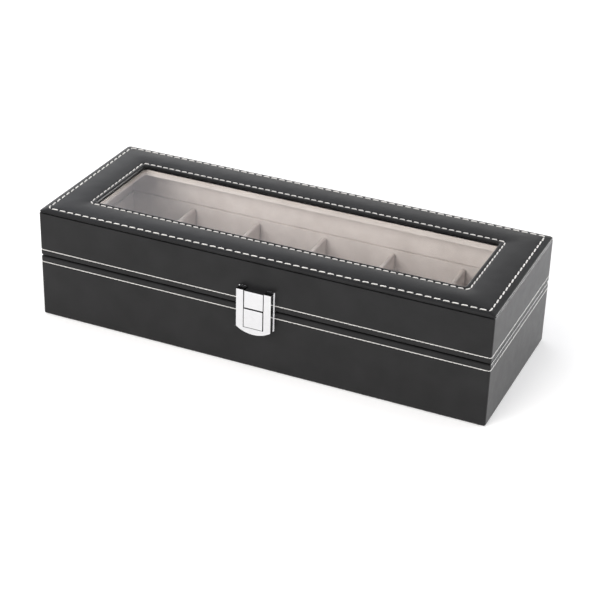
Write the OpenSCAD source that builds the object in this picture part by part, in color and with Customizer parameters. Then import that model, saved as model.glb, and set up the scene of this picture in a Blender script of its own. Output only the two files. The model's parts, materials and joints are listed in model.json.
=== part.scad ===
// Watch box: a long leatherette box with a row of velvet-lined compartments, a hinged lid with a
// padded top round a glass window, and a push-button clasp.
// X runs along the box to the right, Y from front to back, Z up, in millimetres.
// The origin is the centre of the underside.

/* [Box] */
// Length of the box, left to right
box_w = 320; // [290:1:360]
// Depth of the box, front to back, without clasp and hinges
box_d = 122; // [114:1:140]
// Height of the closed box
box_h = 80; // [78:1:90]
// Height of the middle of the seam between base and lid
seam_z = 45.4; // [44.4:0.1:46.4]
// Gap between the rims of base and lid
seam_gap = 0.8; // [0.6:0.1:1]
// Radius of the upright edges
edge_r = 1.5; // [1:0.1:3]

/* [Boards and covering] */
// Thickness of the base's wall boards
base_board_t = 5; // [4.8:0.1:6]
// Thickness of the lid's wall boards
lid_board_t = 4.5; // [4:0.1:4.5]
// Thickness of the floor board
floor_board_t = 3; // [2:0.5:5]
// Thickness of the leatherette
cover_t = 0.8; // [0.6:0.1:1]
// Width of the leatherette's edge turned under the base
turn_w = 15; // [10:1:25]
// Thickness of the sheet glued to the underside
sheet_t = 0.5; // [0.4:0.1:1]
// Distance of that sheet from the box's edges
sheet_inset = 3; // [2:1:8]

/* [Window] */
// Length of the window opening
window_w = 263; // [240:1:268]
// Depth of the window opening
window_d = 67.5; // [50:0.5:70]
// Radius of the opening's corners
window_r = 3; // [1:0.5:5]
// Thickness of the padded top panel
panel_t = 3; // [2.5:0.1:4]
// Thickness of the rails under that panel
rail_t = 5; // [5:0.5:6]
// Thickness of the glass
glass_t = 2; // [1.5:0.1:2.5]
// Width of the glass's edge held between rails and panel
glass_hold = 5; // [4:0.5:6]
// Thickness of the velvet-covered frame that lines the window's edge under the glass
surround_t = 1.2; // [0.8:0.1:2]

/* [Lining] */
// Thickness of the velvet-covered boards in the base
liner_t = 2; // [1.5:0.1:3]
// Height of the top of those boards
liner_top = 45.8; // [44.8:0.1:45.8]
// Thickness of the velvet on the lid's walls
lid_lining_t = 1; // [0.6:0.1:1.5]
// Height of the lower edge of that velvet
lid_lining_z = 46; // [45.9:0.1:47.8]
// Thickness of the floor pad
pad_t = 2; // [1:0.5:5]
// Number of compartments
compartments = 6; // [3:1:8]
// Thickness of a divider
divider_t = 3.5; // [2:0.5:5]
// Height of the dividers' tops
divider_top = 43.5; // [38:0.5:44.5]

/* [Hinges] */
// Distance of each hinge from the middle of the box
hinge_x = 100; // [60:1:120]
// Width of a hinge
hinge_w = 30; // [28:1:40]
// Height of one leaf, from the hinge's axis
leaf_h = 12; // [11:0.5:14]
// Thickness of the leaves
leaf_t = 1; // [0.8:0.1:1]
// Outer radius of the knuckles
knuckle_r = 1.6; // [1.5:0.1:1.6]
// Radius of the hinge pins
pin_r = 0.8; // [0.7:0.05:0.8]
// Angle at which the hinges stop the lid
open_angle = 95; // [92:1:100]

/* [Clasp] */
// Distance of the clasp's centre line from the middle of the box
clasp_x = 2; // [-10:1:10]
// Width of the clasp's housing
clasp_w = 24.5; // [24:0.5:28]
// Height of the housing's top
clasp_top = 59.3; // [57.8:0.1:61.8]
// Height of the lowest point of the housing's curved bottom
clasp_bottom = 28.1; // [25.8:0.1:28.8]
// Rise of the curved bottom from its middle to its sides
clasp_rise = 3.9; // [2:0.1:4]
// How far the housing stands out from the box
clasp_depth = 5.5; // [5.5:0.1:6.5]
// Width of the slot in the housing
slot_w = 14.5; // [14:0.5:15]
// Height of the slot's lower end
slot_z = 32.3; // [31.8:0.1:32.8]
// How far the button moves in when it is pressed
button_travel = 0.7; // [0.5:0.05:0.7]

/* [Thread lines] */
// Height of the thread line round the base
base_thread_z = 40.7; // [40:0.1:42]
// Height of the thread line round the lid
lid_thread_z = 49.8; // [48:0.1:51]
// Width of a thread line
thread_w = 0.8; // [0.5:0.1:1]

/* [Hidden] */
$fn = 64;
SIDES = ["front", "back", "left", "right"];
HANDS = ["left", "right"];

// Overrun of a cutting shape past the face it cuts
over = 1;

// Half sizes: outside of the leatherette, outside of the boards, and inside of each layer
half_w = box_w / 2;
half_d = box_d / 2;
core_x = half_w - cover_t;
core_y = half_d - cover_t;
base_in_x = core_x - base_board_t;
base_in_y = core_y - base_board_t;
lid_in_x = core_x - lid_board_t;
lid_in_y = core_y - lid_board_t;
cavity_x = base_in_x - liner_t;
cavity_y = base_in_y - liner_t;
core_r = edge_r - cover_t;
thread_depth = 0.4;

// Heights in the base
base_rim = seam_z - seam_gap / 2;
base_board_z = sheet_t + cover_t;
base_board_top = base_rim - cover_t;
floor_top = base_board_z + floor_board_t;
pad_top = floor_top + pad_t;

// Heights in the lid
lid_rim = seam_z + seam_gap / 2;
lid_board_z = lid_rim + cover_t;
panel_z = box_h - panel_t;
rail_z = panel_z - rail_t;
glass_z = panel_z - glass_t;

// Window layers, as half sizes
open_x = window_w / 2;
open_y = window_d / 2;
skin_x = open_x + cover_t;
skin_y = open_y + cover_t;
glass_x = open_x + glass_hold;
glass_y = open_y + glass_hold;
glass_play = 0.5;
surround_set = 0.5;
surround_x = open_x + surround_set;
surround_y = open_y + surround_set;
bearer_x = surround_x + surround_t;
bearer_y = surround_y + surround_t;

// Compartments
pitch = (2 * cavity_x + divider_t) / compartments;

// Hinges: the axis stands clear of the back, so that the lid's lower edge swings over the knuckles
axis_out = knuckle_r + 0.3;
axis_y = half_d + axis_out;
running_gap = 0.05;
bore_r = pin_r + running_gap;
middle_knuckle = hinge_w / 3 - 0.2;
knuckle_gap = 0.2;
leaf_clear = 0.4;
pin_head_r = 1.2;
pin_head_t = 0.5;
// The stop tail meets the base's leaf when the lid stands at open_angle
tail_w = 8;
tail_len = 3.2;
tail_t = 1.1;
stop_gap = 0.02;
tail_drop = (axis_out - leaf_t - stop_gap + tail_len * cos(open_angle)) / sin(open_angle);

// Screws
thread_gap = 0.02;
screw_r = 0.8;
hinge_head_r = 1.7;
hinge_head_h = 0.8;
hinge_screw_x = 9.5;
hinge_screw_z = 8;
hinge_screw_len = 4.8;
clasp_head_r = 1.8;
clasp_head_h = 1.3;
clasp_head_room = 0.2;
housing_screw_x = clasp_w / 2 - 1.75;
housing_screw_z = 38.3;
tongue_screw_x = 4;
tongue_screw_z = 52.8;
clasp_screw_tip = 3;

// Clasp housing
front_y = -half_d;
flange_out = 0.5;
flange_t = 0.6;
lid_relief = 0.3;
face_t = 1;
cavity_w = 17.6;
cavity_z = 31.2;
cavity_top = 46.2;
// Button: a cap in the slot, a wider flange behind the housing's face, and two prongs
button_proud = 0.3;
button_play = 0.55;
button_top = 46;
button_flange_w = 16.8;
button_flange_t = 0.5;
button_flange_z = 31.6;
button_flange_top = 45.8;
button_flange_gap = 0.1;
button_flange_in = clasp_depth - face_t - button_flange_gap - button_flange_t;
prong_in = 5.2;
prong_w = 1.2;
prong_z = 41.4;
prong_h = 1.4;
prong_gap = 0.2;
// Tongue: a block in the slot above the button, and a tail with a window behind it
tongue_z = 46.8;
tongue_top = 58.8;
tongue_play = 0.6;
tongue_set = 0.1;
tongue_tail_w = 9;
tongue_tail_t = 0.8;
tongue_tail_z = 35.3;
// The tail swings out a little as the lid lifts, so it keeps this far from the pressed button
tongue_tail_room = 0.6;
tongue_tail_out = button_flange_in - button_travel - tongue_tail_room;
catch_window_w = 4.4;
catch_window_z = 38.4;
catch_window_h = 2.6;
// Catch spring: a foot on the box, a blade behind the tail, a hook through the tail's window
spring_w = 5.2;
spring_t = 0.3;
spring_foot_z = 31.4;
spring_foot_top = 35.4;
spring_blade_z = 36.2;
spring_blade_top = 42.8;
spring_blade_out = 1.1;
hook_w = 4;
hook_z = 38.9;
hook_h = 1.7;
hook_out = 1.2;
ear_w = 12.8;
ear_z = 41.6;
spring_screw_r = 0.6;
spring_screw_z = 33.4;
spring_head_r = 1.2;
spring_head_h = 0.6;
spring_screw_len = 4;

// ---- Shapes used by several pieces ----

// Rectangle centred on the origin, with round corners
module rounded(w, d, r) {
    if (r > 0) {
        square([w, d - 2 * r], center = true);
        square([w - 2 * r, d], center = true);
        for (x = [-1, 1], y = [-1, 1])
            translate([x * (w / 2 - r), y * (d / 2 - r)]) circle(r);
    } else {
        square([w, d], center = true);
    }
}

// Upright block of half sizes hx and hy, from z0 to z1, with round upright edges
module block(hx, hy, z0, z1, r = 0)
    translate([0, 0, z0]) linear_extrude(z1 - z0) rounded(2 * hx, 2 * hy, r);

// One side of a rectangular frame: front and back run its full length, left and right fit between
module frame_side(side, ox, oy, ix, iy, z0, z1, r = 0)
    translate([0, 0, z0]) linear_extrude(z1 - z0) intersection() {
        rounded(2 * ox, 2 * oy, r);
        if (side == "front") translate([-ox, -oy]) square([2 * ox, oy - iy]);
        else if (side == "back") translate([-ox, iy]) square([2 * ox, oy - iy]);
        else if (side == "left") translate([-ox, -iy]) square([ox - ix, 2 * iy]);
        else translate([ix, -iy]) square([ox - ix, 2 * iy]);
    }

// Spherical cap of radius r and height h, standing on z = 0
module cap(r, h) {
    ball_r = (r * r + h * h) / (2 * h);
    intersection() {
        translate([0, 0, h - ball_r]) sphere(ball_r);
        cylinder(r = r, h = h);
    }
}

// Screw with a domed, cross-slotted head above z = 0 and its shank below
module screw(shank_r, len, head_r, head_h) {
    slot_t = head_r / 4;
    difference() {
        union() {
            cap(head_r, head_h);
            translate([0, 0, -len]) cylinder(r = shank_r, h = len + head_h / 2);
        }
        for (a = [0, 90])
            rotate(a) translate([0, 0, head_h]) cube([head_r, slot_t, head_h], center = true);
    }
}

// Places along the back that take a hinge's screws, at a height above or below the axis
module at_hinge_screws(rise)
    for (h = [-1, 1], s = [-1, 1])
        translate([h * hinge_x + s * hinge_screw_x, half_d + leaf_t, seam_z + rise])
            rotate([-90, 0, 0]) children();

// Places on the front that take the clasp's screws: z = 0 is the box's front face, +Z points in
module at_clasp_screws(x, z)
    for (s = [-1, 1])
        translate([clasp_x + s * x, front_y, z]) rotate([-90, 0, 0]) children();

// Hole for a clasp screw through the front, with a pocket for its head on the inside
module clasp_screw_hole(board_t)
    union() {
        translate([0, 0, -over]) cylinder(r = screw_r + 0.1, h = cover_t + board_t + 2 * over);
        translate([0, 0, cover_t + board_t - clasp_head_h - clasp_head_room])
            cylinder(r = clasp_head_r + clasp_head_room, h = clasp_head_h + over);
    }

// Clasp screw: its head fills the pocket and its tip stands in front of the box
module clasp_screw(board_t)
    translate([0, 0, cover_t + board_t - clasp_head_h - clasp_head_room])
        screw(screw_r, cover_t + board_t - clasp_head_h - clasp_head_room + clasp_screw_tip,
            clasp_head_r, clasp_head_h);

// Plate standing on the front of the box: a drawing in x and z, from y_in out to y_out
module front_plate(y_in, y_out)
    translate([clasp_x, front_y - y_in, 0]) rotate([90, 0, 0])
        linear_extrude(y_out - y_in) children();

// Rectangle drawn in x and z, centred across and standing from z0 to z1
module upright(w, z0, z1)
    translate([-w / 2, z0]) square([w, z1 - z0]);

// ---- Base ----

module base_wall(side)
    color("burlywood") difference() {
        frame_side(side, core_x, core_y, base_in_x, base_in_y, base_board_z, base_board_top, core_r);
        if (side == "front") {
            at_clasp_screws(housing_screw_x, housing_screw_z) clasp_screw_hole(base_board_t);
            spring_screw_hole();
        }
        if (side == "back") hinge_pilots(-hinge_screw_z);
    }

module base_floor_board()
    color("burlywood") block(base_in_x, base_in_y, base_board_z, floor_top);

// Thread line sunk flush into the leatherette all round, centred on a height
module thread_line(z)
    difference() {
        block(half_w, half_d, z - thread_w / 2, z + thread_w / 2, edge_r);
        block(half_w - thread_depth, half_d - thread_depth, z - thread_w, z + thread_w,
            edge_r - thread_depth);
    }

module base_thread()
    color("white") thread_line(base_thread_z);

// Leatherette round the walls, turned in over the rim and under the lower edge
module base_cover()
    color("dimgray") difference() {
        block(half_w, half_d, sheet_t, base_rim, edge_r);
        block(core_x, core_y, base_board_z, base_board_top, core_r);
        block(base_in_x, base_in_y, base_board_top - over, base_rim + over);
        block(half_w - turn_w, half_d - turn_w, sheet_t - over, base_board_z + over);
        thread_line(base_thread_z);
        at_clasp_screws(housing_screw_x, housing_screw_z) clasp_screw_hole(base_board_t);
        spring_screw_hole();
        hinge_pilots(-hinge_screw_z);
    }

module underside_sheet()
    color("black") block(half_w - sheet_inset, half_d - sheet_inset, 0, sheet_t, edge_r);

module floor_pad()
    color("antiquewhite") block(cavity_x, cavity_y, floor_top, pad_top);

module liner(side)
    color("antiquewhite")
        frame_side(side, base_in_x, base_in_y, cavity_x, cavity_y, floor_top, liner_top);

module divider(i)
    color("antiquewhite") translate([(i - compartments / 2) * pitch, 0, 0])
        block(divider_t / 2, cavity_y, pad_top, divider_top);

// Holes for the hinge screws in a back wall
module hinge_pilots(rise)
    at_hinge_screws(rise) translate([0, 0, -hinge_screw_len - 0.2])
        cylinder(r = screw_r + thread_gap, h = hinge_screw_len);

// ---- Hinges ----

// Knuckle centred on the hinge's axis, from x0 to x1
module knuckle(x0, x1)
    translate([x0, 0, 0]) rotate([0, 90, 0]) cylinder(r = knuckle_r, h = x1 - x0);

// Holes that every leaf has: the pin's bore and, on the side given, two screw holes
module leaf_holes(side) {
    translate([-hinge_w / 2 - over, 0, 0]) rotate([0, 90, 0])
        cylinder(r = bore_r, h = hinge_w + 2 * over);
    for (s = [-1, 1])
        translate([s * hinge_screw_x, -axis_out - over, side * hinge_screw_z])
            rotate([-90, 0, 0]) cylinder(r = screw_r + 0.15, h = leaf_t + 2 * over);
}

// Flat part of a leaf, lying on the box's back, between two heights from the axis
module leaf_plate(x0, x1, z0, z1)
    translate([x0, -axis_out, z0]) cube([x1 - x0, leaf_t, z1 - z0]);

module at_hinge(hand)
    translate([(hand == "left" ? -1 : 1) * hinge_x, axis_y, seam_z]) children();

// Base leaf: two outer knuckles, with the plate cut back round the lid's middle knuckle
module hinge_base_leaf(hand)
    color("silver") at_hinge(hand) difference() {
        inner = middle_knuckle / 2 + knuckle_gap;
        union() {
            leaf_plate(-hinge_w / 2, hinge_w / 2, -leaf_h, -knuckle_r - leaf_clear);
            for (x = [-hinge_w / 2, inner]) {
                leaf_plate(x, x + hinge_w / 2 - inner, -leaf_h, 0);
                knuckle(x, x + hinge_w / 2 - inner);
            }
        }
        leaf_holes(-1);
    }

// Lid leaf: one middle knuckle, whose tail stops the lid against the base leaf
module hinge_lid_leaf(hand)
    color("silver") at_hinge(hand) difference() {
        union() {
            leaf_plate(-hinge_w / 2, hinge_w / 2, knuckle_r + leaf_clear, leaf_h);
            leaf_plate(-middle_knuckle / 2, middle_knuckle / 2, 0, leaf_h);
            knuckle(-middle_knuckle / 2, middle_knuckle / 2);
            translate([-tail_w / 2, 0, -tail_drop]) cube([tail_w, tail_len, tail_t]);
        }
        leaf_holes(1);
    }

module hinge_pin(hand)
    color("silver") at_hinge(hand) rotate([0, 90, 0]) {
        cylinder(r = pin_r, h = hinge_w, center = true);
        for (s = [-1, 1])
            translate([0, 0, s * (hinge_w + pin_head_t) / 2])
                cylinder(r = pin_head_r, h = pin_head_t, center = true);
    }

module hinge_screws(rise)
    color("silver") at_hinge_screws(rise)
        screw(screw_r, hinge_screw_len, hinge_head_r, hinge_head_h);

// ---- Clasp ----

// Outline of the housing: straight sides and a curved bottom, grown by an amount all round
module shield(grow) {
    half = clasp_w / 2 + grow;
    arc_r = (clasp_w * clasp_w / 4 + clasp_rise * clasp_rise) / (2 * clasp_rise);
    arc_z = clasp_bottom + arc_r;
    intersection() {
        upright(2 * half, clasp_bottom - grow, clasp_top + grow);
        union() {
            translate([0, arc_z]) circle(arc_r + grow, $fn = 180);
            upright(2 * half, arc_z, clasp_top + grow);
        }
    }
}

module clasp_housing()
    color("gainsboro") difference() {
        union() {
            front_plate(0, clasp_depth) shield(0);
            front_plate(0, flange_t) shield(flange_out);
        }
        front_plate(-over, clasp_depth + over) upright(slot_w, slot_z, clasp_top + 2 * over);
        front_plate(-over, clasp_depth - face_t) upright(cavity_w, cavity_z, cavity_top);
        front_plate(-over, lid_relief) upright(clasp_w + 4, base_rim, clasp_top + 2 * over);
        at_clasp_screws(housing_screw_x, housing_screw_z)
            translate([0, 0, -clasp_screw_tip - 0.2])
                cylinder(r = screw_r + thread_gap, h = clasp_screw_tip + over);
    }

module clasp_housing_screws()
    color("silver") at_clasp_screws(housing_screw_x, housing_screw_z) clasp_screw(base_board_t);

module clasp_button()
    color("gainsboro") {
        front_plate(button_flange_in + button_flange_t, clasp_depth + button_proud)
            upright(slot_w - 2 * button_play, slot_z + button_play, button_top);
        front_plate(button_flange_in, button_flange_in + button_flange_t)
            upright(button_flange_w, button_flange_z, button_flange_top);
        for (s = [-1, 1])
            front_plate(spring_blade_out + prong_gap, button_flange_in)
                translate([s * (prong_in + prong_w / 2), 0])
                    upright(prong_w, prong_z, prong_z + prong_h);
    }

module clasp_tongue()
    color("gainsboro") difference() {
        union() {
            front_plate(0, clasp_depth - tongue_set)
                upright(slot_w - 2 * tongue_play, tongue_z, tongue_top);
            front_plate(tongue_tail_out - tongue_tail_t, tongue_tail_out)
                upright(tongue_tail_w, tongue_tail_z, tongue_z + over);
        }
        front_plate(tongue_tail_out - tongue_tail_t - over, tongue_tail_out + over)
            upright(catch_window_w, catch_window_z, catch_window_z + catch_window_h);
        at_clasp_screws(tongue_screw_x, tongue_screw_z)
            translate([0, 0, -clasp_screw_tip - 0.2])
                cylinder(r = screw_r + thread_gap, h = clasp_screw_tip + over);
    }

module clasp_tongue_screws()
    color("silver") at_clasp_screws(tongue_screw_x, tongue_screw_z) clasp_screw(lid_board_t);

// Strip bent from a foot on the box out to a blade, drawn from the side as out and up
module spring_strip() {
    blade_in = spring_blade_out - spring_t;
    polygon([
        [0, spring_foot_z], [spring_t, spring_foot_z], [spring_t, spring_foot_top],
        [spring_blade_out, spring_blade_z], [spring_blade_out, spring_blade_top],
        [blade_in, spring_blade_top], [blade_in, spring_blade_z], [0, spring_foot_top]
    ]);
}

// Side view extruded across the clasp: x of the drawing is the distance out from the box
module side_view(w)
    translate([clasp_x + w / 2, front_y, 0]) rotate([90, 0, -90]) linear_extrude(w) children();

module clasp_catch_spring()
    color("silver") difference() {
        union() {
            side_view(spring_w) spring_strip();
            side_view(ear_w) translate([spring_blade_out - spring_t, ear_z])
                square([spring_t, spring_blade_top - ear_z]);
            side_view(hook_w) polygon([
                [spring_blade_out - spring_t / 2, hook_z],
                [spring_blade_out + hook_out, hook_z],
                [spring_blade_out, hook_z + hook_h],
                [spring_blade_out - spring_t / 2, hook_z + hook_h]
            ]);
        }
        translate([clasp_x, front_y + over, spring_screw_z]) rotate([90, 0, 0])
            cylinder(r = spring_screw_r + 0.1, h = spring_t + 2 * over);
    }

module spring_screw_hole()
    translate([clasp_x, front_y - over, spring_screw_z]) rotate([-90, 0, 0])
        cylinder(r = spring_screw_r + thread_gap, h = spring_screw_len + over);

module clasp_spring_screw()
    color("silver") translate([clasp_x, front_y - spring_t, spring_screw_z]) rotate([90, 0, 0])
        screw(spring_screw_r, spring_screw_len, spring_head_r, spring_head_h);

// ---- Lid ----

module lid_wall(side)
    color("burlywood") difference() {
        frame_side(side, core_x, core_y, lid_in_x, lid_in_y, lid_board_z, rail_z, core_r);
        if (side == "front")
            at_clasp_screws(tongue_screw_x, tongue_screw_z) clasp_screw_hole(lid_board_t);
        if (side == "back") hinge_pilots(hinge_screw_z);
    }

// Rail of the top frame: its lower layer carries the glass, and the upper one leaves room round it
module lid_rail(side)
    color("burlywood") {
        frame_side(side, core_x, core_y, bearer_x, bearer_y, rail_z, glass_z, core_r);
        frame_side(side, core_x, core_y, glass_x + glass_play, glass_y + glass_play,
            glass_z, panel_z, core_r);
    }

// Leatherette round the lid's walls, turned in over the rim
module lid_side_cover()
    color("dimgray") difference() {
        block(half_w, half_d, lid_rim, panel_z, edge_r);
        block(core_x, core_y, lid_board_z, panel_z + over, core_r);
        block(lid_in_x, lid_in_y, lid_rim - over, lid_board_z + over);
        thread_line(lid_thread_z);
        at_clasp_screws(tongue_screw_x, tongue_screw_z) clasp_screw_hole(lid_board_t);
        hinge_pilots(hinge_screw_z);
    }

module lid_thread()
    color("white") thread_line(lid_thread_z);

// One of the four strips of foam round the window
module lid_padding(side)
    color("wheat")
        frame_side(side, core_x, core_y, skin_x, skin_y, panel_z, box_h - cover_t, core_r);

// Leatherette over the foam: it reaches down the outside to the side cover and down to the glass
module lid_top_cover()
    color("dimgray") difference() {
        block(half_w, half_d, panel_z, box_h, edge_r);
        difference() {
            block(core_x, core_y, panel_z - over, box_h - cover_t, core_r);
            block(skin_x, skin_y, panel_z - 2 * over, box_h, window_r + cover_t);
        }
        block(open_x, open_y, panel_z - over, box_h + over, window_r);
    }

module glass_pane()
    color("lightcyan", 0.4) block(glass_x, glass_y, glass_z, panel_z);

// Velvet-covered frame: a flat part under the rails and a rim round the window, up to the glass
module window_surround()
    color("antiquewhite") difference() {
        union() {
            block(lid_in_x - lid_lining_t, lid_in_y - lid_lining_t, rail_z - surround_t, rail_z);
            block(bearer_x, bearer_y, rail_z - surround_t, glass_z);
        }
        block(surround_x, surround_y, rail_z - surround_t - over, glass_z + over, window_r);
    }

module lid_lining(side)
    color("antiquewhite")
        frame_side(side, lid_in_x, lid_in_y, lid_in_x - lid_lining_t, lid_in_y - lid_lining_t,
            lid_lining_z, rail_z);

// ---- Assembly ----

for (s = SIDES) {
    base_wall(s);
    liner(s);
    lid_wall(s);
    lid_rail(s);
    lid_padding(s);
    lid_lining(s);
}
for (h = HANDS) {
    hinge_base_leaf(h);
    hinge_pin(h);
    hinge_lid_leaf(h);
}
for (i = [1:compartments - 1])
    divider(i);
base_floor_board();
base_cover();
base_thread();
underside_sheet();
floor_pad();
hinge_screws(-hinge_screw_z);  // hinge_base_screws
clasp_housing();
clasp_housing_screws();
clasp_catch_spring();
clasp_spring_screw();
clasp_button();
lid_side_cover();
lid_thread();
lid_top_cover();
glass_pane();
window_surround();
hinge_screws(hinge_screw_z);  // hinge_lid_screws
clasp_tongue();
clasp_tongue_screws();
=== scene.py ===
"""Looks for the watch box: padded leatherette, stitching, velvet, glass and polished metal.

Lengths are in metres, in the frame's own axes: +X right, +Y back, +Z up. MM turns millimetres into
metres.
"""

import json
import math

import bmesh
import bpy
import numpy as np
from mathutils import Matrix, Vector, noise


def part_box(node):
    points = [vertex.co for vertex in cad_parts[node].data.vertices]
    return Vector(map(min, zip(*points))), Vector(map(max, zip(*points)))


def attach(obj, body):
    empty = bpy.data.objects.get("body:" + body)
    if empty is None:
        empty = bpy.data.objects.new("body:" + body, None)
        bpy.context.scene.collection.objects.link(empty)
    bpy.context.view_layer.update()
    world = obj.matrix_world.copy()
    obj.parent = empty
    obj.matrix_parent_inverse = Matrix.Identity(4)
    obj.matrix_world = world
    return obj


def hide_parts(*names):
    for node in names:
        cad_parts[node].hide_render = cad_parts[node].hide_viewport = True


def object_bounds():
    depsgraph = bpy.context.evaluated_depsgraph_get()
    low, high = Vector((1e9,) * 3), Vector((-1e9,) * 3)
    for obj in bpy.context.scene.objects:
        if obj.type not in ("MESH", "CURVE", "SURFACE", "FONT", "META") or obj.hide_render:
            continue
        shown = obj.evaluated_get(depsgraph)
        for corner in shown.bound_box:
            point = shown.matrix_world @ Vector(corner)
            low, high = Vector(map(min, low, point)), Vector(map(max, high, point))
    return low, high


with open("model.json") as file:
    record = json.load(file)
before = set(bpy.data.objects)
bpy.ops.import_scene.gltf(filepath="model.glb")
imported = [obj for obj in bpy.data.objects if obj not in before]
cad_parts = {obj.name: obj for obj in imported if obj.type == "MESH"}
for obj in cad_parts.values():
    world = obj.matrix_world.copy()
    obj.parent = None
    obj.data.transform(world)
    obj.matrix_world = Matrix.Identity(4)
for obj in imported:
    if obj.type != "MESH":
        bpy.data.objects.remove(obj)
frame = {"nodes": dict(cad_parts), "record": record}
cad_low, cad_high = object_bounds()

MM = 0.001
NODES = frame["nodes"]
SIDES = ("front", "back", "left", "right")

# ---- Camera: the photograph's viewing angle ----

CAMERA_AT = (0.3961, -0.9021, 0.5625)
CAMERA_TURN = (61.188, -1.567, 24.269)
CAMERA_LENS = 99.2

camera = bpy.data.objects.new("camera", bpy.data.cameras.new("camera"))
camera.data.lens = CAMERA_LENS
camera.data.sensor_width = 36
camera.data.clip_start = 0.01
camera.data.clip_end = 20
camera.location = CAMERA_AT
camera.rotation_euler = [math.radians(a) for a in CAMERA_TURN]
bpy.context.scene.collection.objects.link(camera)
bpy.context.scene.camera = camera

# ---- Sizes read from the frame ----

base_low, base_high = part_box("base_cover")
side_low, side_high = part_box("lid_side_cover")
panel_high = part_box("lid_top_cover")[1]
base_thread_low, base_thread_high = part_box("base_thread")
lid_thread_low, lid_thread_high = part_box("lid_thread")
surround_low, surround_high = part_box("window_surround")
padding_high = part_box("lid_front_padding")[1]

HALF_W = panel_high.x
HALF_D = panel_high.y
PANEL_Z = side_high.z  # underside of the padded panel
TOP_Z = panel_high.z
SKIN = TOP_Z - padding_high.z  # thickness of the leatherette
OPEN_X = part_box("lid_right_padding")[0].x - SKIN  # half the window opening
OPEN_Y = -padding_high.y - SKIN
EDGE_R = 1.5 * MM  # radius of the box's upright edges

# ---- Meshes ----


def add_piece(name, verts, faces, material, body, smooth=True):
    """A new object from plain lists, with its faces turned outwards, riding on a body."""
    mesh = bpy.data.meshes.new(name)
    mesh.from_pydata([tuple(v) for v in verts], [], faces)
    work = bmesh.new()
    work.from_mesh(mesh)
    bmesh.ops.recalc_face_normals(work, faces=work.faces)
    work.to_mesh(mesh)
    work.free()
    mesh.polygons.foreach_set("use_smooth", [smooth] * len(mesh.polygons))
    mesh.materials.append(material)
    piece = bpy.data.objects.new(name, mesh)
    bpy.context.scene.collection.objects.link(piece)
    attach(piece, body)
    return piece


def even_normals(piece):
    """Keeps wide flat faces flat beside narrow rounded edges."""
    modifier = piece.modifiers.new("even_normals", "WEIGHTED_NORMAL")
    modifier.keep_sharp = True
    return piece


def soften(node, width, segments):
    """Rounds a CAD node's edges with modifiers, and leaves its own mesh as it is."""
    piece = NODES[node]
    piece.data.polygons.foreach_set("use_smooth", [True] * len(piece.data.polygons))
    weld = piece.modifiers.new("weld", "WELD")
    weld.merge_threshold = 0.002 * MM
    flat = piece.modifiers.new("flat", "DECIMATE")
    flat.decimate_type = "DISSOLVE"
    flat.angle_limit = math.radians(1)
    bevel = piece.modifiers.new("bevel", "BEVEL")
    bevel.width = width
    bevel.segments = segments
    bevel.limit_method = "ANGLE"
    bevel.angle_limit = math.radians(28)
    bevel.harden_normals = False
    return even_normals(piece)


def ring(hx, hy, r, z, nx, ny, nc=6):
    """Points round a rectangle of half sizes hx and hy with corners of radius r, anticlockwise.

    The first is at the front left. nx and ny are the steps along a side, and nc those in a corner.
    """
    points = []
    corners = ((hx - r, -hy + r, -90), (hx - r, hy - r, 0),
               (-hx + r, hy - r, 90), (-hx + r, -hy + r, 180))
    starts = ((-hx + r, -hy), (hx, -hy + r), (hx - r, hy), (-hx, hy - r))
    ends = ((hx - r, -hy), (hx, hy - r), (-hx + r, hy), (-hx, -hy + r))
    for side in range(4):
        steps = (nx, ny, nx, ny)[side]
        for i in range(steps):
            share = i / steps
            x = starts[side][0] + (ends[side][0] - starts[side][0]) * share
            y = starts[side][1] + (ends[side][1] - starts[side][1]) * share
            points.append((x, y, z))
        cx, cy, start = corners[side]
        for j in range(nc):
            angle = math.radians(start + 90 * j / nc)
            points.append((cx + r * math.cos(angle), cy + r * math.sin(angle), z))
    return points


def loft(rings):
    """Vertices and quads of a closed tube of rings, the last joined to the first."""
    count = len(rings[0])
    verts = [p for one in rings for p in one]
    faces = []
    for i in range(len(rings)):
        a, b = i * count, (i + 1) % len(rings) * count
        for j in range(count):
            k = (j + 1) % count
            faces.append((a + j, a + k, b + k, b + j))
    return verts, faces


def arc(cx, cz, r, start, end, steps=5):
    """Points of an arc in (inset, height), from one angle to another in degrees."""
    turns = [math.radians(start + (end - start) * i / steps) for i in range(steps + 1)]
    return [(cx + r * math.cos(a), cz + r * math.sin(a)) for a in turns]


def groove(z, half, depth, steps=6):
    """Points of a shallow rounded channel in a wall, from below upwards, as (inset, height)."""
    shares = [i / steps for i in range(steps + 1)]
    return [(depth * math.sin(math.pi * s) ** 2, z - half + 2 * half * s) for s in shares]


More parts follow.
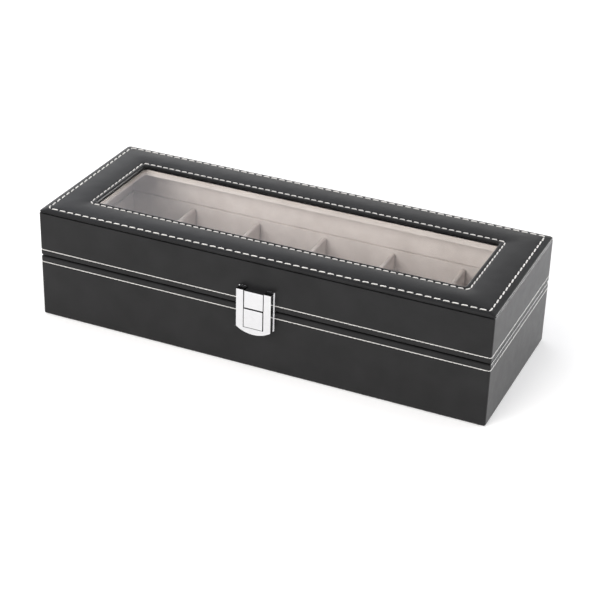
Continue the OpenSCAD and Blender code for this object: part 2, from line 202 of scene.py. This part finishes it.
def rounded_block(name, low, high, r, step, body, material, lump, seed):
    """A box with rounded edges and slightly uneven wide faces, as cloth over a board has."""
    def lines(a, b):
        inner = max(1, round((b - a - 2 * r) / step))
        near = [a, a + 0.12 * r, a + 0.4 * r]
        far = [b - 0.4 * r, b - 0.12 * r, b]
        return near + [a + r + (b - a - 2 * r) * i / inner for i in range(inner + 1)] + far

    axes = [lines(low[i], high[i]) for i in range(3)]
    thin = min(range(3), key=lambda i: high[i] - low[i])
    verts, faces, index = [], [], {}

    def vert(key):
        if key not in index:
            p = Vector(axes[i][key[i]] for i in range(3))
            core = Vector(min(max(p[i], low[i] + r), high[i] - r) for i in range(3))
            out = (p - core).normalized()
            lumps = noise.noise(p * 90 + Vector((seed, seed, seed))) * lump * abs(out[thin])
            verts.append(core + out * (r + lumps))
            index[key] = len(verts) - 1
        return index[key]

    for fixed in range(3):
        u, v = [a for a in range(3) if a != fixed]
        for end in (0, len(axes[fixed]) - 1):
            for i in range(len(axes[u]) - 1):
                for j in range(len(axes[v]) - 1):
                    keys = []
                    for du, dv in ((0, 0), (1, 0), (1, 1), (0, 1)):
                        key = [0, 0, 0]
                        key[fixed], key[u], key[v] = end, i + du, j + dv
                        keys.append(vert(tuple(key)))
                    faces.append(keys)
    return even_normals(add_piece(name, verts, faces, material, body))


# ---- Materials ----


def new_material(name):
    """A node material: itself, its nodes, its links and its main shader."""
    material = bpy.data.materials.new(name)
    material.use_nodes = True
    tree = material.node_tree
    return material, tree.nodes, tree.links, tree.nodes["Principled BSDF"]


def add_node(nodes, kind, **values):
    """A shader node with its input sockets set by name."""
    node = nodes.new(kind)
    for name, value in values.items():
        node.inputs[name.replace("_", " ")].default_value = value
    return node


def ramp(nodes, links, source, stops):
    """A colour ramp fed by a socket: stops are (position, colour)."""
    node = nodes.new("ShaderNodeValToRGB")
    while len(node.color_ramp.elements) < len(stops):
        node.color_ramp.elements.new(0.5)
    for element, (position, colour) in zip(node.color_ramp.elements, stops):
        element.position = position
        element.color = (*colour, 1)
    links.new(source, node.inputs["Fac"])
    return node.outputs["Color"]


def spread(nodes, links, source, low, high):
    """A 0 to 1 socket spread over a range."""
    node = nodes.new("ShaderNodeMapRange")
    node.inputs["To Min"].default_value = low
    node.inputs["To Max"].default_value = high
    links.new(source, node.inputs["Value"])
    return node.outputs["Result"]


def object_noise(nodes, links, scale, detail=4, roughness=0.5):
    """Noise in the piece's own coordinates."""
    place = nodes.new("ShaderNodeTexCoord")
    node = add_node(nodes, "ShaderNodeTexNoise", Scale=scale, Detail=detail, Roughness=roughness)
    links.new(place.outputs["Object"], node.inputs["Vector"])
    return node.outputs["Fac"]


def bump(nodes, links, height, distance, strength, under=None):
    """A bump from a height socket, on top of another one if given."""
    node = add_node(nodes, "ShaderNodeBump", Strength=strength, Distance=distance)
    links.new(height, node.inputs["Height"])
    if under:
        links.new(under, node.inputs["Normal"])
    return node.outputs["Normal"]


def leatherette():
    """Black coated fabric: pebble grain, a soft sheen that varies, and a tone that varies a little at
    random.
    """
    material, nodes, links, shader = new_material("leatherette")
    place = nodes.new("ShaderNodeTexCoord")
    pebble = add_node(nodes, "ShaderNodeTexVoronoi", Scale=1500)
    pebble.feature = "SMOOTH_F1"
    links.new(place.outputs["Object"], pebble.inputs["Vector"])
    pores = object_noise(nodes, links, 2600, 3)
    broad = object_noise(nodes, links, 26, 3)
    normal = bump(nodes, links, broad, 0.9 * MM, 0.10)
    normal = bump(nodes, links, pebble.outputs["Distance"], 0.10 * MM, 0.35, normal)
    normal = bump(nodes, links, pores, 0.05 * MM, 0.25, normal)
    links.new(normal, shader.inputs["Normal"])
    colour = ramp(nodes, links, object_noise(nodes, links, 60, 5),
                  ((0.3, (0.008, 0.008, 0.0083)), (0.7, (0.012, 0.012, 0.0125))))
    links.new(colour, shader.inputs["Base Color"])
    rough = spread(nodes, links, object_noise(nodes, links, 140, 5), 0.3, 0.42)
    links.new(rough, shader.inputs["Roughness"])
    shader.inputs["Specular IOR Level"].default_value = 0.22
    return material


def velvet(name, dark, light):
    """Short pile: brushed patches, sheen at the edges and a fine nap."""
    material, nodes, links, shader = new_material(name)
    brushed = object_noise(nodes, links, 45, 4, 0.6)
    colour = ramp(nodes, links, brushed, ((0.3, dark), (0.7, light)))
    links.new(colour, shader.inputs["Base Color"])
    nap = object_noise(nodes, links, 3200, 2)
    links.new(bump(nodes, links, nap, 0.12 * MM, 0.5), shader.inputs["Normal"])
    links.new(spread(nodes, links, brushed, 0.8, 1.0), shader.inputs["Roughness"])
    shader.inputs["Sheen Weight"].default_value = 0.5
    shader.inputs["Sheen Roughness"].default_value = 0.4
    shader.inputs["Sheen Tint"].default_value = (*light, 1)
    shader.inputs["Specular IOR Level"].default_value = 0.15
    return material


def thread():
    """Twisted off-white thread: its strands run slantwise round each stitch, with painted shade in the
    grooves between them.
    """
    material, nodes, links, shader = new_material("thread")
    place = nodes.new("ShaderNodeTexCoord")
    strands = add_node(nodes, "ShaderNodeTexWave", Scale=1.0, Distortion=0.6, Detail=1)
    strands.bands_direction = "DIAGONAL"
    links.new(place.outputs["UV"], strands.inputs["Vector"])
    # The darker stops sit where the bump dips, in the grooves between strands: painted shade.
    colour = ramp(nodes, links, strands.outputs["Fac"],
                  ((0.0, (0.45, 0.44, 0.42)), (0.6, (0.78, 0.77, 0.75))))
    links.new(colour, shader.inputs["Base Color"])
    links.new(bump(nodes, links, strands.outputs["Fac"], 0.12 * MM, 0.6), shader.inputs["Normal"])
    links.new(spread(nodes, links, strands.outputs["Fac"], 0.6, 0.8), shader.inputs["Roughness"])
    shader.inputs["Sheen Weight"].default_value = 0.2
    return material


def metal(name, colour, smooth, rough, wave=0.02):
    """Plated metal: a roughness that varies a little, and a faint unevenness in what it mirrors."""
    material, nodes, links, shader = new_material(name)
    shader.inputs["Metallic"].default_value = 1
    tone = ramp(nodes, links, object_noise(nodes, links, 350, 3),
                ((0.2, [c * 0.94 for c in colour]), (0.8, colour)))
    links.new(tone, shader.inputs["Base Color"])
    links.new(spread(nodes, links, object_noise(nodes, links, 900, 6), smooth, rough),
              shader.inputs["Roughness"])
    links.new(bump(nodes, links, object_noise(nodes, links, 160, 2), 0.3 * MM, wave),
              shader.inputs["Normal"])
    return material


def fibreboard():
    """Raw board: short pressed fibres in pale and dark flecks."""
    material, nodes, links, shader = new_material("fibreboard")
    fibres = object_noise(nodes, links, 900, 8, 0.7)
    colour = ramp(nodes, links, fibres, ((0.3, (0.26, 0.17, 0.10)), (0.7, (0.50, 0.36, 0.22))))
    links.new(colour, shader.inputs["Base Color"])
    links.new(bump(nodes, links, fibres, 0.15 * MM, 0.4), shader.inputs["Normal"])
    links.new(spread(nodes, links, fibres, 0.75, 0.95), shader.inputs["Roughness"])
    return material


def felt():
    """Black felt paper under the box."""
    material, nodes, links, shader = new_material("felt")
    fibres = object_noise(nodes, links, 1500, 6, 0.7)
    colour = ramp(nodes, links, fibres, ((0.3, (0.012, 0.012, 0.013)), (0.7, (0.035, 0.035, 0.037))))
    links.new(colour, shader.inputs["Base Color"])
    links.new(bump(nodes, links, fibres, 0.2 * MM, 0.6), shader.inputs["Normal"])
    links.new(spread(nodes, links, fibres, 0.85, 1.0), shader.inputs["Roughness"])
    return material


def foam():
    """Open-cell foam strips."""
    material, nodes, links, shader = new_material("foam")
    cells = object_noise(nodes, links, 1100, 5)
    colour = ramp(nodes, links, cells, ((0.3, (0.55, 0.50, 0.36)), (0.7, (0.78, 0.74, 0.6))))
    links.new(colour, shader.inputs["Base Color"])
    links.new(bump(nodes, links, cells, 0.3 * MM, 0.6), shader.inputs["Normal"])
    shader.inputs["Roughness"].default_value = 0.9
    return material


def glass():
    """Clear pane that lets lamps through to what is behind it."""
    material, nodes, links, shader = new_material("glass")
    shader.inputs["Base Color"].default_value = (0.985, 0.995, 0.99, 1)
    shader.inputs["Transmission Weight"].default_value = 1
    shader.inputs["Roughness"].default_value = 0.0
    shader.inputs["IOR"].default_value = 1.46
    clear = nodes.new("ShaderNodeBsdfTransparent")
    path = nodes.new("ShaderNodeLightPath")
    mix = nodes.new("ShaderNodeMixShader")
    links.new(path.outputs["Is Shadow Ray"], mix.inputs["Fac"])
    links.new(shader.outputs["BSDF"], mix.inputs[1])
    links.new(clear.outputs["BSDF"], mix.inputs[2])
    links.new(mix.outputs["Shader"], nodes["Material Output"].inputs["Surface"])
    return material


LEATHER = leatherette()
VELVET = velvet("velvet", (0.68, 0.62, 0.59), (0.82, 0.76, 0.73))
THREAD = thread()
CHROME = metal("chrome", (0.75, 0.75, 0.76), 0.08, 0.18)
# Near-black metal for the clasp's recesses and slot sides: painted shade, not a different finish.
PAINTED_SHADE_METAL = metal("painted_shade_metal", (0.045, 0.045, 0.047), 0.3, 0.5)
NICKEL = metal("nickel", (0.70, 0.68, 0.64), 0.16, 0.30, 0.05)
BOARD = fibreboard()
FELT = felt()
FOAM = foam()
GLASS = glass()

SLOT_MATERIALS = {
    "leatherette": LEATHER, "velvet": VELVET, "thread": THREAD, "chrome": CHROME, "steel": NICKEL,
    "mdf": BOARD, "felt": FELT, "foam": FOAM, "glass": GLASS,
}

for part in frame["record"]["subparts"]:
    own = NODES[part["node"]].data.materials
    own.clear()
    own.append(SLOT_MATERIALS[part["material_slot"]])

# ---- Leatherette over the base and round the lid's sides ----

WALL_STEP = 5 * MM
RIM_R = 1.0 * MM
THREAD_GROOVE = 0.35 * MM
THREAD_HALF = 0.75 * MM


def wall_rings(profile):
    """Rings of a wall whose profile is a list of (inset, height)."""
    nx, ny = round(2 * HALF_W / WALL_STEP), round(2 * HALF_D / WALL_STEP)
    return [ring(HALF_W - d, HALF_D - d, max(EDGE_R - d, 0.15 * MM), z, nx, ny) for d, z in profile]


def wall_steps(z0, z1, step=4 * MM):
    """Plain wall points between two heights, ends left out."""
    count = max(2, round((z1 - z0) / step))
    return [(0.0, z0 + (z1 - z0) * i / count) for i in range(1, count)]


def base_leather():
    """The base's cover: up the wall, over the rim, and turned in under the bottom edge."""
    bottom, rim = base_low.z, base_high.z
    mid = (base_thread_low.z + base_thread_high.z) / 2
    board_in = HALF_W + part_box("liner_left")[0].x
    turn_in = 15 * MM
    profile = [(turn_in, bottom), (RIM_R * 4, bottom)]
    profile += arc(RIM_R, bottom + RIM_R, RIM_R, 270, 180)
    profile += wall_steps(bottom + RIM_R, mid - THREAD_HALF)
    profile += groove(mid, THREAD_HALF, THREAD_GROOVE)
    profile += wall_steps(mid + THREAD_HALF, rim - RIM_R, 2 * MM)
    profile += arc(RIM_R, rim - RIM_R, RIM_R, 180, 90)
    profile += [(board_in - 0.1 * MM, rim), (board_in, rim - 0.1 * MM), (board_in, rim - SKIN)]
    profile += [(SKIN, rim - SKIN), (SKIN, bottom + SKIN), (turn_in, bottom + SKIN)]
    verts, faces = loft(wall_rings(profile))
    piece = add_piece("base_leather", verts, faces, LEATHER, "base")
    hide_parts("base_cover")
    return even_normals(piece)


def lid_leather():
    """The lid's side cover: from the panel down the wall and over the rim."""
    rim, top = side_low.z, side_high.z
    mid = (lid_thread_low.z + lid_thread_high.z) / 2
    board_in = HALF_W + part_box("lid_left_board")[1].x
    profile = arc(RIM_R, rim + RIM_R, RIM_R, 270, 180)
    profile += wall_steps(rim + RIM_R, mid - THREAD_HALF, 2 * MM)
    profile += groove(mid, THREAD_HALF, THREAD_GROOVE)
    profile += wall_steps(mid + THREAD_HALF, top - 0.5 * MM)
    profile += arc(0.5 * MM, top - 0.5 * MM, 0.5 * MM, 180, 90, 3)
    profile += [(SKIN, top), (SKIN, rim + SKIN), (board_in, rim + SKIN), (board_in, rim)]
    verts, faces = loft(wall_rings(profile))
    piece = add_piece("lid_leather", verts, faces, LEATHER, "lid")
    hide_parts("lid_side_cover")
    return even_normals(piece)


# ---- Padded top panel ----

BORDER = HALF_W - OPEN_X
ACROSS = (HALF_D - OPEN_Y) / BORDER  # how much narrower the border is at front and back
OUTER_STITCH = 4.75 * MM
INNER_STITCH = BORDER - 3.3 * MM
OUTER_PITCH = 5.9 * MM
INNER_PITCH = 4.98 * MM
STITCH_Z = TOP_Z - 0.6 * MM
CROWN_Z = TOP_Z + 0.12 * MM


def panel_profile():
    """(inset, height, how far it may puff) from the outer edge across to the window and back under."""
    z = TOP_Z
    points = [(0.72, -2.98), (0.72, -2.7), (0.55, -2.45), (0.3, -2.28), (0.12, -2.1), (0.05, -1.85)]
    points += [(0.15, -1.6), (0.5, -1.33), (1.1, -1.08), (1.9, -0.84), (2.8, -0.63), (3.6, -0.5)]
    points += [(4.2, -0.5), (4.75, -0.6), (5.2, -0.48)]
    profile = [(a * MM, z + b * MM, 0.0) for a, b in points]
    start, end = OUTER_STITCH + 0.7 * MM, INNER_STITCH - 0.7 * MM
    foot = z - 0.35 * MM
    steps = 16
    for share in [i / steps for i in range(steps + 1)]:
        arch = math.sin(math.pi * share) ** 0.85
        profile.append((start + (end - start) * share, foot + (CROWN_Z - foot) * arch, arch))
    points = [(-0.4, -0.52), (0.0, -0.62), (0.4, -0.5), (0.9, -0.24), (1.5, -0.1), (2.1, -0.1)]
    points += [(2.6, -0.24), (2.98, -0.5), (3.2, -0.85), (3.3, -1.4)]
    profile += [(INNER_STITCH + a * MM, z + b * MM, 0.0) for a, b in points]
    profile += [(BORDER, z - 2.1 * MM, 0.0), (BORDER, PANEL_Z, 0.0)]
    profile += [(BORDER * share, PANEL_Z, 0.0) for share in (0.75, 0.5, 0.25)]
    return profile


def corner_radius(inset):
    """Corner radius of the panel's rings: wider over the padding than at the seams and edges."""
    share = min(max((inset - OUTER_STITCH) / (INNER_STITCH - OUTER_STITCH), 0), 1)
    return (2.2 + 4.5 * math.sin(math.pi * share) + 0.8 * share) * MM


def waviness(x, y, scale, seed):
    """Seeded waves over the panel: the larger the scale, the shorter they are."""
    return noise.noise(Vector((x * scale, y * scale, seed)))


def top_panel():
    """The padded border: puffed between its two rows of stitches, and pulled in a little along them."""
    nx, ny = 4 * round(2 * HALF_W / OUTER_PITCH), 4 * round(2 * HALF_D / OUTER_PITCH)
    pull_reach, lip_z, lip_r = 1.6 * MM, PANEL_Z + 0.35 * MM, 0.3 * MM
    rings = []
    for inset, z, puff in panel_profile():
        outer_lip = z < lip_z and inset < MM
        r = lip_r if outer_lip else corner_radius(inset)
        pull = sum(math.exp(-((inset - row) / pull_reach) ** 2) for row in (OUTER_STITCH, INNER_STITCH))
        shaped = []
        for x, y, height in ring(HALF_W - inset, HALF_D - inset * ACROSS, r, z, nx, ny, 8):
            height += puff * (0.16 * waviness(x, y, 28, 3.1) + 0.04 * waviness(x, y, 120, 7.7)) * MM
            height += pull * 0.16 * waviness(x, y, 260, 1.9) * MM
            shaped.append((x, y, height))
        rings.append(shaped)
    verts, faces = loft(rings)
    piece = add_piece("lid_padded_panel", verts, faces, LEATHER, "lid")
    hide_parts("lid_top_cover", *[f"lid_{side}_padding" for side in SIDES])
    return even_normals(piece)


# ---- Stitching ----


STITCH_RISE = 0.35  # how far a stitch's middle stands out, in thread thicknesses
STITCH_TAPER = 0.25  # how much thinner it is at its ends
STITCH_SHARES = np.linspace(-1, 1, 9)  # places along a stitch, from end to end
STITCH_TURNS = [2 * math.pi * m / 8 for m in range(8)]  # places round the thread
AHEAD = 0.01 * MM


def walk(points):
    """The length of a closed line, and a function that gives its point at any distance along it."""
    closed = np.vstack([points, points[:1]])
    gone = np.concatenate([[0], np.cumsum(np.linalg.norm(np.diff(closed, axis=0), axis=1))])

    def point_at(distance):
        return np.array([np.interp(distance % gone[-1], gone, closed[:, i]) for i in range(3)])

    return gone[-1], point_at


def tube_faces(first, sections, around):
    """Faces of a capped tube whose sections follow each other from a first vertex."""
    faces = []
    for k in range(sections - 1):
        a, b = first + k * around, first + (k + 1) * around
        for m in range(around):
            n = (m + 1) % around
            faces.append((a + m, a + n, b + n, b + m))
    last = first + (sections - 1) * around
    faces.append(tuple(first + m for m in range(around)))
    faces.append(tuple(last + m for m in reversed(range(around))))
    return faces


def stitch_row(name, body, hx, hy, r, z, pitch, dash, thick, upright, slant, sink):
    """A closed row of stitches round a rounded rectangle: arched threads that dive in at their ends.

    Stitches on the top stand up along Z, and those on the walls (upright) stand out from the wall.
    """
    length, point_at = walk(np.array(ring(hx, hy, r, z, 1600, 700, 24)))
    count = round(length / pitch)
    lean = math.tan(math.radians(slant))
    verts, faces, uvs = [], [], []
    for n in range(count):
        faces += tube_faces(len(verts), len(STITCH_SHARES), len(STITCH_TURNS))
        for share in STITCH_SHARES:
            offset = share * dash / 2
            here = (n + 0.5) * length / count + offset
            point = point_at(here)
            along = point_at(here + AHEAD) - point
            along /= np.linalg.norm(along)
            up = np.array([along[1], -along[0], 0.0]) if upright else np.array([0.0, 0.0, 1.0])
            side = np.cross(up, along)
            dive = abs(share) ** 7
            centre = point + up * thick * (STITCH_RISE - sink * dive) + side * offset * lean
            radius = thick * (1 - STITCH_TAPER * dive) / 2
            for m, turn in enumerate(STITCH_TURNS):
                flat, tall = 1.08 * math.cos(turn), 0.9 * math.sin(turn)
                verts.append(centre + radius * (side * flat + up * tall))
                uvs.append((n * 0.37 + share * dash / thick * 0.9, m / len(STITCH_TURNS) * 0.5))
    piece = add_piece(name, verts, faces, THREAD, body)
    layer = piece.data.uv_layers.new(name="UVMap")
    for loop in piece.data.loops:
        layer.data[loop.index].uv = uvs[loop.vertex_index]
    return piece


def stitching():
    """Two rows on the padded panel, and a fine line of touching stitches on each side of the seam."""
    for name, inset, r, pitch, dash, thick in (
            ("top_outer_stitches", OUTER_STITCH, 2.2 * MM, OUTER_PITCH, 4.75 * MM, 0.9 * MM),
            ("top_inner_stitches", INNER_STITCH, 3.0 * MM, INNER_PITCH, 4.1 * MM, 0.85 * MM)):
        stitch_row(name, "lid", HALF_W - inset, HALF_D - inset * ACROSS, r, STITCH_Z,
                   pitch, dash, thick, upright=False, slant=6, sink=1.1)
    sunk = THREAD_GROOVE * 0.8
    for name, body, node in (("base_wall_stitches", "base", "base_thread"),
                             ("lid_wall_stitches", "lid", "lid_thread")):
        low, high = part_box(node)
        piece = stitch_row(name, body, HALF_W - sunk, HALF_D - sunk, EDGE_R, (low.z + high.z) / 2,
                           3.2 * MM, 3.25 * MM, 0.55 * MM, upright=True, slant=2, sink=0.45)
        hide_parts(node)


# ---- Velvet lining ----

VELVET_LUMP = 0.10 * MM


def velvet_pieces():
    """Every lining board, the floor pad and the dividers, as cloth-covered blocks."""
    names = [f"liner_{side}" for side in SIDES] + [f"lid_lining_{side}" for side in SIDES]
    names += ["floor_pad"] + sorted(n for n in NODES if n.startswith("divider_"))
    for i, node in enumerate(names):
        low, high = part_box(node)
        thin = min(high[k] - low[k] for k in range(3))
        body = "lid" if node.startswith("lid_") else "base"
        if body == "lid":
            low.z -= 0.12 * MM
        round_by = thin * 0.46 if node.startswith("divider_") else 0.3 * MM
        piece = rounded_block(node + "_velvet", low, high, round_by, 6 * MM, body, VELVET,
                              VELVET_LUMP, 3.7 * i)
        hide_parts(node)


def window_surround():
    """Velvet-covered frame: a rounded rim under the glass's edge, and a flat part under the rails."""
    low, high = surround_low, surround_high
    flat_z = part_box("lid_front_board")[1].z
    rim, r = 1.2 * MM, 0.45 * MM
    play = 0.5 * MM
    inner = high.x - (OPEN_X + play)
    across = (high.y - (OPEN_Y + play)) / inner
    profile = [(inner - rim, high.z)] + arc(inner - r, high.z - r, r, 90, 0)
    profile += [(inner, high.z - (high.z - low.z) * share) for share in (0.35, 0.65)]
    profile += arc(inner - r, low.z + r, r, 0, -90)
    profile += [(inner * 0.6, low.z), (inner * 0.3, low.z), (r, low.z)]
    profile += arc(r, low.z + r, r, 270, 180, 3) + [(0.0, flat_z), (inner - rim, flat_z)]
    verts, faces = loft([ring(high.x - inset, high.y - inset * across,
                              (0.3 + 2.7 * inset / inner) * MM, z, 60, 16) for inset, z in profile])
    piece = add_piece("window_surround_velvet", verts, faces, VELVET, "lid")
    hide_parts("window_surround")
    return even_normals(piece)


# ---- Metal and boards: CAD nodes with rounded edges ----


def painted_shade_metal(node, hidden):
    """Gives near-black metal, painted shade, to a clasp node's faces whose centre and normal pass a
    test.
    """
    piece = NODES[node]
    piece.data.materials.append(PAINTED_SHADE_METAL)
    for face in piece.data.polygons:
        at = piece.matrix_world @ face.center
        if hidden(at, piece.matrix_world.to_3x3() @ face.normal):
            face.material_index = 1


def clasp():
    """Rounded edges, and near-black metal as painted shade inside the housing and on the sides of
    tongue and button.
    """
    low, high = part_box("clasp_housing")
    middle, wall = (low.x + high.x) / 2, 1.6 * MM
    # Faces deep inside the housing, behind its front wall, get painted shade.
    painted_shade_metal("clasp_housing", lambda at, out: abs(at.x - middle) < high.x - middle - wall
             and low.y + 0.1 * MM < at.y < high.y - wall and at.z > low.z + 2.7 * MM)
    for node in ("clasp_tongue", "clasp_button"):
        # Sides of tongue and button, in the gaps of the slot, get painted shade.
        face_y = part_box(node)[0].y
        painted_shade_metal(node, lambda at, out: at.y > face_y + 0.1 * MM and out.z < 0.7)
    soften("clasp_housing", 0.3 * MM, 4)
    soften("clasp_tongue", 0.2 * MM, 3)
    soften("clasp_button", 0.2 * MM, 3)


def hard_pieces():
    """Fine rounded edges on the spring, hinges, screws, glass and underside sheet."""
    for node in ("clasp_catch_spring", "hinge_base_leaf_left", "hinge_base_leaf_right",
                 "hinge_lid_leaf_left", "hinge_lid_leaf_right"):
        soften(node, 0.08 * MM, 2)
    for node in ("hinge_pin_left", "hinge_pin_right", "hinge_base_screws", "hinge_lid_screws",
                 "clasp_housing_screws", "clasp_tongue_screws", "clasp_spring_screw"):
        soften(node, 0.06 * MM, 2)
    soften("glass_pane", 0.15 * MM, 2)
    soften("underside_sheet", 0.1 * MM, 2)


base_leather()
lid_leather()
top_panel()
stitching()
velvet_pieces()
window_surround()
clasp()
hard_pieces()

# ---- Stage and light ----


def floor():
    """White acrylic sweep that glows a little, so that shadows on it stay faint."""
    material, nodes, links, shader = new_material("floor")
    tone = ramp(nodes, links, object_noise(nodes, links, 3, 2),
                ((0.3, (0.80, 0.80, 0.80)), (0.7, (0.82, 0.82, 0.82))))
    links.new(tone, shader.inputs["Base Color"])
    shader.inputs["Roughness"].default_value = 0.7
    shader.inputs["Specular IOR Level"].default_value = 0.2
    shader.inputs["Emission Color"].default_value = (1, 1, 1, 1)
    shader.inputs["Emission Strength"].default_value = 0.28
    mesh = bpy.data.meshes.new("floor")
    reach = 6
    corners = ((-reach, -reach), (reach, -reach), (reach, reach), (-reach, reach))
    mesh.from_pydata([(x, y, cad_low.z) for x, y in corners], [], [(0, 1, 2, 3)])
    mesh.materials.append(material)
    plane = bpy.data.objects.new("floor", mesh)
    bpy.context.scene.collection.objects.link(plane)


def area_light(name, at, aim, size, power, colour):
    """A rectangular soft lamp that faces a point."""
    light = bpy.data.lights.new(name, "AREA")
    light.shape = "RECTANGLE"
    light.size, light.size_y = size
    light.energy = power
    light.color = colour
    lamp = bpy.data.objects.new(name, light)
    lamp.location = at
    lamp.rotation_euler = (Vector(aim) - Vector(at)).to_track_quat("-Z", "Y").to_euler()
    bpy.context.scene.collection.objects.link(lamp)
    return lamp


def studio():
    """White round the horizon, a darker ceiling, a soft cool glow at the back left, and four lamps."""
    world = bpy.data.worlds.new("studio")
    world.use_nodes = True
    nodes, links = world.node_tree.nodes, world.node_tree.links
    place = nodes.new("ShaderNodeTexCoord")
    split = nodes.new("ShaderNodeSeparateXYZ")
    links.new(place.outputs["Generated"], split.inputs["Vector"])
    sky = ramp(nodes, links, split.outputs["Z"],
               ((0.0, (1.0, 1.0, 1.0)), (0.2, (1.0, 1.0, 1.0)), (0.42, (0.2, 0.205, 0.22)),
                (1.0, (0.3, 0.305, 0.33))))
    toward = nodes.new("ShaderNodeVectorMath")
    toward.operation = "DOT_PRODUCT"
    toward.inputs[1].default_value = (-0.662, 0.596, 0.454)
    links.new(place.outputs["Generated"], toward.inputs[0])
    glow = ramp(nodes, links, toward.outputs["Value"],
                ((0.89, (0, 0, 0)), (0.95, (0.25, 0.26, 0.29)), (0.99, (1.0, 1.03, 1.1))))
    both = nodes.new("ShaderNodeVectorMath")
    links.new(sky, both.inputs[0])
    links.new(glow, both.inputs[1])
    links.new(both.outputs["Vector"], nodes["Background"].inputs["Color"])
    bpy.context.scene.world = world
    bpy.context.scene.view_settings.view_transform = "Standard"
    area_light("overhead", (0.0, -0.2, 1.7), (0, 0, 0), (2.4, 1.8), 18, (1, 0.985, 0.97))
    key = area_light("key", (-0.5, -1.4, 0.78), (0, 0, 0.05), (1.2, 0.7), 25, (1, 0.97, 0.94))
    key.visible_glossy = key.visible_transmission = False  # its shape would show in the glass
    area_light("back_strip", (-0.1, 0.95, 0.36), (0, 0, 0.08), (1.3, 0.2), 1.2, (1, 1, 1))
    area_light("right_fill", (1.2, 1.3, 0.17), (0.16, 0, 0.04), (1.4, 0.32), 44, (1, 1, 1))


floor()
studio()
